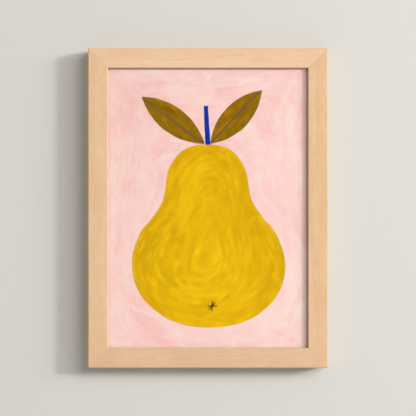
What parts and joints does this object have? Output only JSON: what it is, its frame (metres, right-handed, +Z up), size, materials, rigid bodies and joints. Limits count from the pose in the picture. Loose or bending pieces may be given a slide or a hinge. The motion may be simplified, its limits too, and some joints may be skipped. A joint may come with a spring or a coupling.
{
  "type": "framed picture",
  "caption": "Rectangular wall picture: mitred pale wooden frame, clear pane over a painted pear print, closed back with turn buttons and a sawtooth hanger.",
  "frame": {"origin": "the roof of the middle notch of the sawtooth hanger, on the plane of the wall, where the nail carries the picture", "axes": "+Z up along the picture's height, +Y from the picture into the wall, +X to the viewer's right; the picture faces -Y"},
  "size_m": [0.24, 0.024, 0.32],
  "materials": {
    "maple": "pale clear-lacquered maple with a fine straight grain",
    "picture_glass": "clear, polished",
    "art_paper": "matt printed art paper",
    "foam_board": "matt, paper-faced foam",
    "hardboard": "brown hardboard, smooth pressed face",
    "bright_steel": "bright plated",
    "zinc_plate": "zinc plated, satin",
    "brassed_steel": "brass plated",
    "felt": "dense dark felt"
  },
  "bodies": {
    "frame": {"rail_top": "maple", "rail_bottom": "maple", "stile_left": "maple", "stile_right": "maple", "glazing": "picture_glass", "art_print": "art_paper", "print_backer": "foam_board", "back_board": "hardboard", "v_nail_top_left_outer": "bright_steel", "v_nail_top_left_inner": "bright_steel", "v_nail_top_right_outer": "bright_steel", "v_nail_top_right_inner": "bright_steel", "v_nail_bottom_left_outer": "bright_steel", "v_nail_bottom_left_inner": "bright_steel", "v_nail_bottom_right_outer": "bright_steel", "v_nail_bottom_right_inner": "bright_steel", "button_screw_left_1": "bright_steel", "button_screw_left_2": "bright_steel", "button_screw_left_3": "bright_steel", "button_screw_right_1": "bright_steel", "button_screw_right_2": "bright_steel", "button_screw_right_3": "bright_steel", "sawtooth_hanger": "brassed_steel", "hanger_nail_left": "brassed_steel", "hanger_nail_right": "brassed_steel", "wall_bumper_left": "felt", "wall_bumper_right": "felt"},
    "turn_button_left_1": {"turn_button_left_1": "zinc_plate"},
    "turn_button_left_2": {"turn_button_left_2": "zinc_plate"},
    "turn_button_left_3": {"turn_button_left_3": "zinc_plate"},
    "turn_button_right_1": {"turn_button_right_1": "zinc_plate"},
    "turn_button_right_2": {"turn_button_right_2": "zinc_plate"},
    "turn_button_right_3": {"turn_button_right_3": "zinc_plate"}
  },
  "joints": [
    {"name": "turn_button_left_1_swivel", "type": "hinge", "parent": "frame", "child": "turn_button_left_1", "pos_m": [-0.113, -0.0033, -0.05333], "axis": [0, 1, 0], "continuous": true},
    {"name": "turn_button_left_2_swivel", "type": "hinge", "parent": "frame", "child": "turn_button_left_2", "pos_m": [-0.113, -0.0033, -0.15], "axis": [0, 1, 0], "continuous": true},
    {"name": "turn_button_left_3_swivel", "type": "hinge", "parent": "frame", "child": "turn_button_left_3", "pos_m": [-0.113, -0.0033, -0.24667], "axis": [0, 1, 0], "continuous": true},
    {"name": "turn_button_right_1_swivel", "type": "hinge", "parent": "frame", "child": "turn_button_right_1", "pos_m": [0.113, -0.0033, -0.05333], "axis": [0, 1, 0], "continuous": true},
    {"name": "turn_button_right_2_swivel", "type": "hinge", "parent": "frame", "child": "turn_button_right_2", "pos_m": [0.113, -0.0033, -0.15], "axis": [0, 1, 0], "continuous": true},
    {"name": "turn_button_right_3_swivel", "type": "hinge", "parent": "frame", "child": "turn_button_right_3", "pos_m": [0.113, -0.0033, -0.24667], "axis": [0, 1, 0], "continuous": true}
  ]
}
